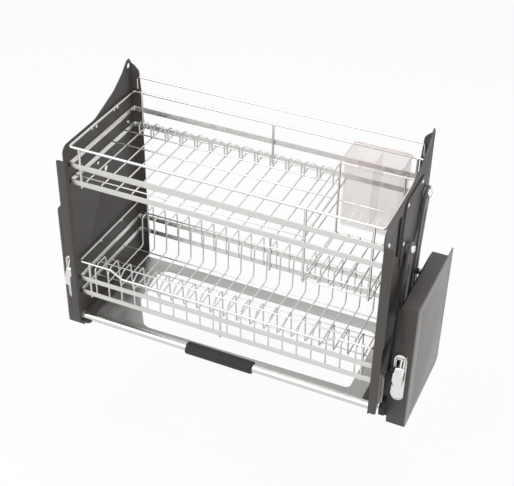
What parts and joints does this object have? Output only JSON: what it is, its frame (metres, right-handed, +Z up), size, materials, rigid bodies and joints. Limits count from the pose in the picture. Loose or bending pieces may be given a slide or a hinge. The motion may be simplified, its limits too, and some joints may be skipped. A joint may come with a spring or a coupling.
{
  "type": "pull-down dish rack",
  "caption": "Wall-cabinet dish rack on parallel swing arms: two wire baskets between folded side panels swing out and down by a tube handle, with a hanging section and a lift-out cutlery box.",
  "frame": {"origin": "bottom centre of the bounding box at rest, level with the bottom edges of the two mounting plates", "axes": "+X to the user's right along the width, +Y to the back of the cabinet (front faces -Y), +Z up"},
  "size_m": [0.764, 0.27, 0.5474],
  "materials": {
    "dark_grey_paint": "satin powder coat",
    "light_grey_paint": "satin powder coat",
    "zinc_plated_steel": "dull zinc plating",
    "stainless_wire": "electropolished stainless steel",
    "bright_chrome": "polished",
    "bright_steel": "bright",
    "black_foam": "matt foam",
    "black_rubber": "matt",
    "nylon": "moulded",
    "smoky_plastic": "clear smoky"
  },
  "bodies": {
    "wall_frame": {"mount_plate_right": "light_grey_paint", "mount_plate_left": "light_grey_paint", "housing_cover_right": "dark_grey_paint", "housing_cover_left": "dark_grey_paint", "bearing_plate_right": "zinc_plated_steel", "bearing_plate_left": "zinc_plated_steel", "lower_pivot_pins": "bright_steel", "stop_pins": "bright_steel", "stop_sleeves": "black_rubber", "torsion_springs": "bright_steel", "damper_right": "nylon", "damper_left": "nylon", "adjuster_bezel_right": "bright_chrome", "adjuster_bezel_left": "bright_chrome", "adjuster_springs": "bright_steel", "spring_pegs": "bright_steel", "cover_screws": "bright_steel", "arm_guard_right": "dark_grey_paint", "arm_guard_left": "dark_grey_paint", "corner_bumper_right": "black_rubber", "corner_bumper_left": "black_rubber"},
    "rear_arms": {"rear_arm_right": "dark_grey_paint", "rear_arm_left": "dark_grey_paint", "drive_shaft_right": "bright_steel", "drive_shaft_left": "bright_steel"},
    "front_arms": {"front_arm_right": "dark_grey_paint", "front_arm_left": "dark_grey_paint"},
    "carriage": {"side_panel_right": "dark_grey_paint", "side_panel_left": "dark_grey_paint", "hinge_bracket_right": "dark_grey_paint", "hinge_bracket_left": "dark_grey_paint", "bracket_rivets": "bright_steel", "upper_pivot_pins": "bright_chrome", "pivot_washers": "nylon", "buffer_strip_right": "black_rubber", "buffer_strip_left": "black_rubber", "latch_blade_right": "zinc_plated_steel", "latch_blade_left": "zinc_plated_steel", "bumper_bolts": "bright_chrome", "bottom_plate": "light_grey_paint", "handle_tube": "bright_chrome", "handle_grip": "black_foam", "handle_plugs": "nylon", "panel_screws": "bright_chrome", "upper_basket_frame": "stainless_wire", "upper_basket_floor": "stainless_wire", "hanging_section": "stainless_wire", "lower_basket_frame": "stainless_wire", "plate_rack": "stainless_wire", "guard_rail": "stainless_wire"},
    "cutlery_tub": {"cutlery_box": "smoky_plastic"},
    "right_lever": {"adjuster_lever_right": "bright_chrome"},
    "left_lever": {"adjuster_lever_left": "bright_chrome"}
  },
  "joints": [
    {"name": "rear_arm_swing", "type": "hinge", "parent": "wall_frame", "child": "rear_arms", "pos_m": [0, 0.0427, 0.1789], "axis": [1, 0, 0], "range_deg": [0, 110]},
    {"name": "carriage_pivot", "type": "hinge", "parent": "rear_arms", "child": "carriage", "pos_m": [0, 0.08698, 0.43003], "axis": [1, 0, 0], "range_deg": [-110, 0]},
    {"name": "front_arm_swing", "type": "hinge", "parent": "wall_frame", "child": "front_arms", "pos_m": [0, -0.0373, 0.1029], "axis": [1, 0, 0], "range_deg": [0, 110]},
    {"name": "cutlery_box_lift", "type": "slide", "parent": "carriage", "child": "cutlery_tub", "axis": [0, 0, 1], "range_m": [0, 0.2]},
    {"name": "right_lever_turn", "type": "hinge", "parent": "wall_frame", "child": "right_lever", "pos_m": [0, -0.079, 0.164], "axis": [-1, 0, 0], "range_deg": [0, 30]},
    {"name": "left_lever_turn", "type": "hinge", "parent": "wall_frame", "child": "left_lever", "pos_m": [0, -0.079, 0.164], "axis": [-1, 0, 0], "range_deg": [0, 30]}
  ],
  "couplings": [
    {"joint": "carriage_pivot", "follows": "rear_arm_swing", "ratio": -1},
    {"joint": "front_arm_swing", "follows": "rear_arm_swing", "ratio": 1}
  ]
}
